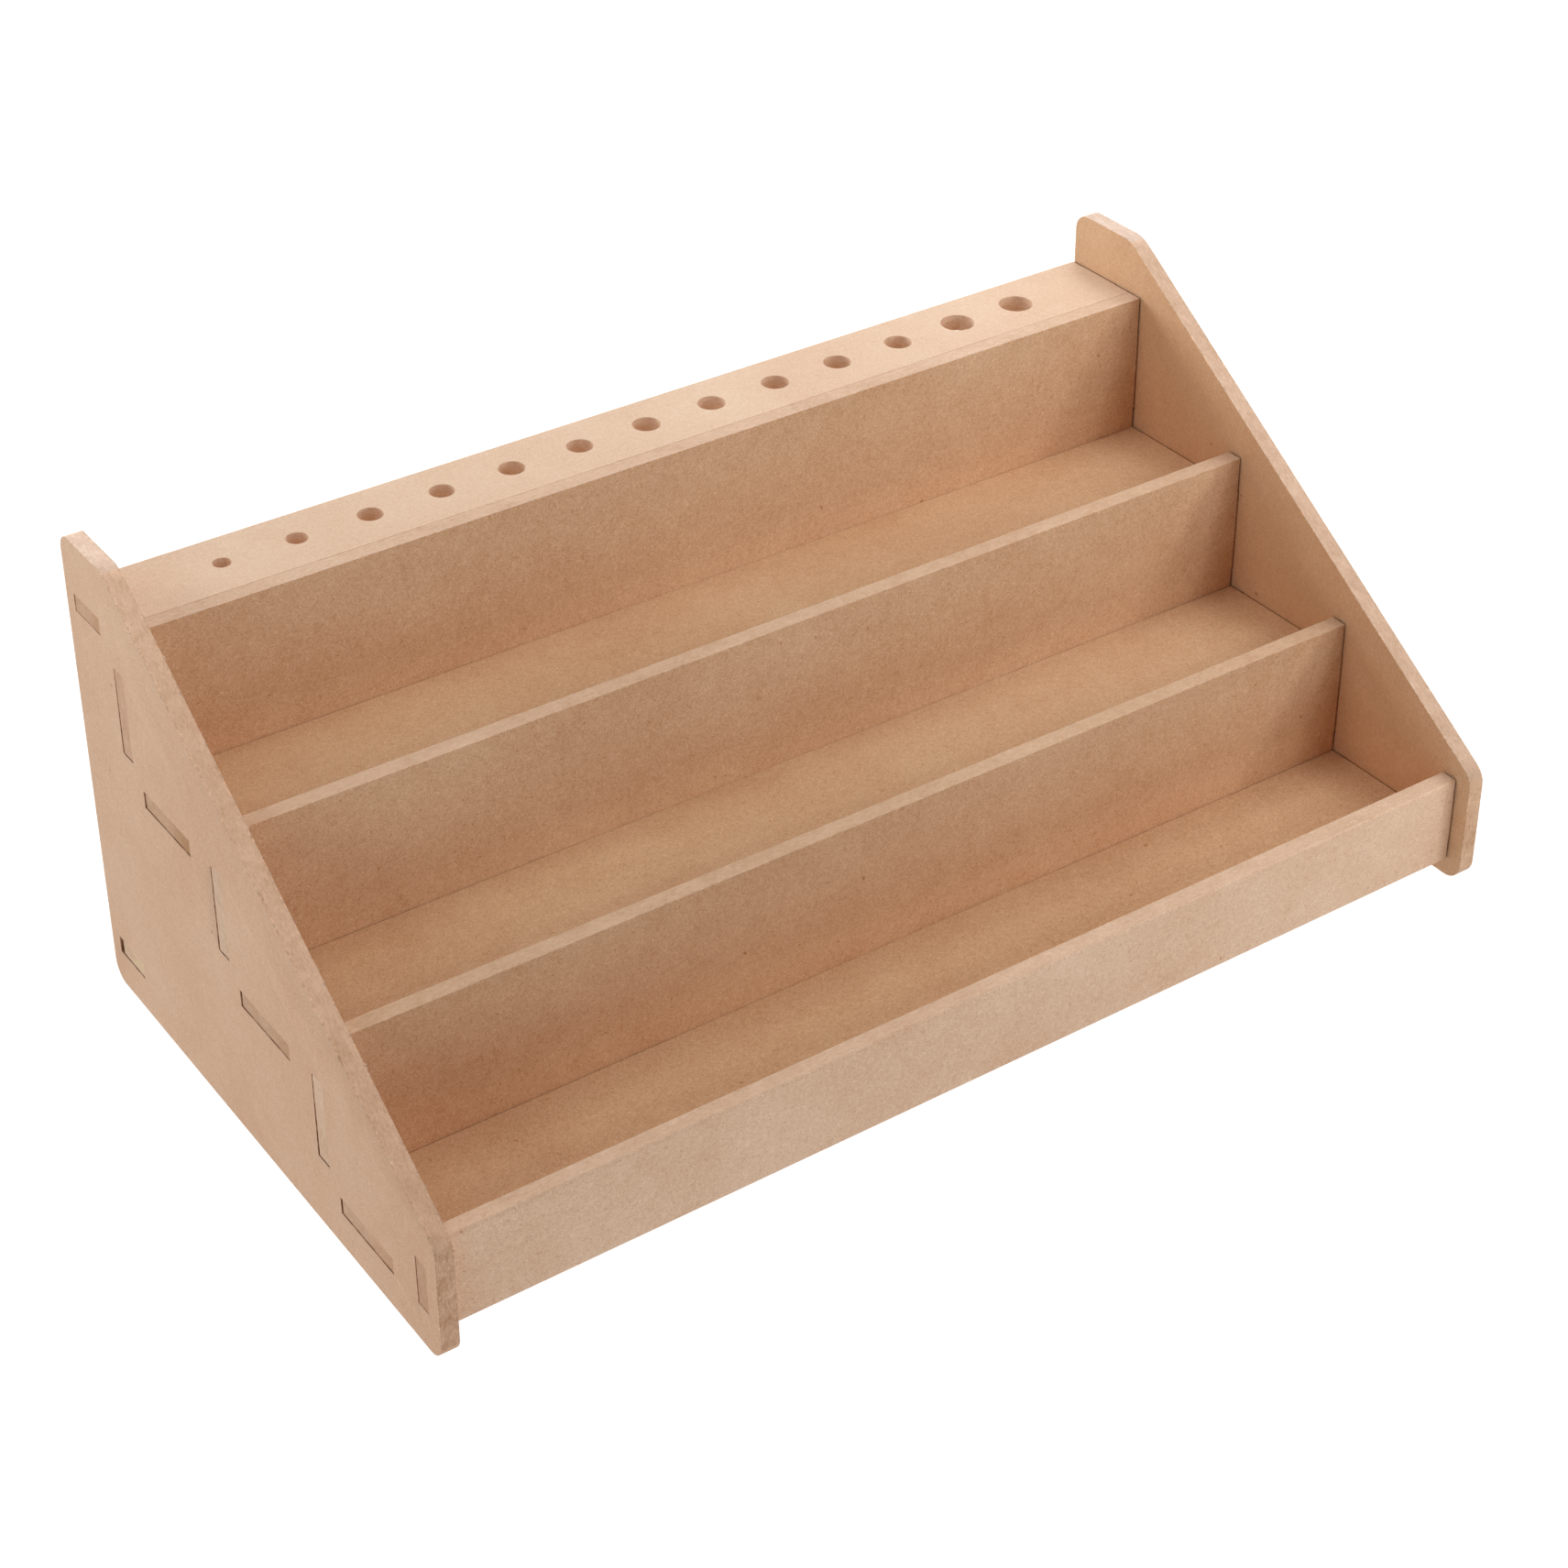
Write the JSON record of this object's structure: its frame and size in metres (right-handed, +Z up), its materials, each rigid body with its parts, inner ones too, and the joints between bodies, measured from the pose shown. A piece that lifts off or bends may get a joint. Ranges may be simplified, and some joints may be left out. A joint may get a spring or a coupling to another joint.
{
  "type": "hobby workstation organizer",
  "caption": "Free-standing desk rack of slotted fibreboard with stepped open trays and a board of graded tool holes behind them.",
  "frame": {"origin": "middle of the footprint, on the surface that the rack stands on", "axes": "+X along the trays to the user's right, +Y from the front lip to the back, +Z up"},
  "size_m": [0.4, 0.214, 0.168],
  "materials": {
    "mdf_board": "raw, sanded, unsealed"
  },
  "bodies": {
    "root": {"side_panel_left": "mdf_board", "side_panel_right": "mdf_board", "tray_floor_lower": "mdf_board", "tray_floor_middle": "mdf_board", "tray_floor_upper": "mdf_board", "riser_lower": "mdf_board", "riser_middle": "mdf_board", "riser_upper": "mdf_board", "front_lip": "mdf_board", "tool_board": "mdf_board", "rear_rail": "mdf_board"}
  },
  "joints": []
}
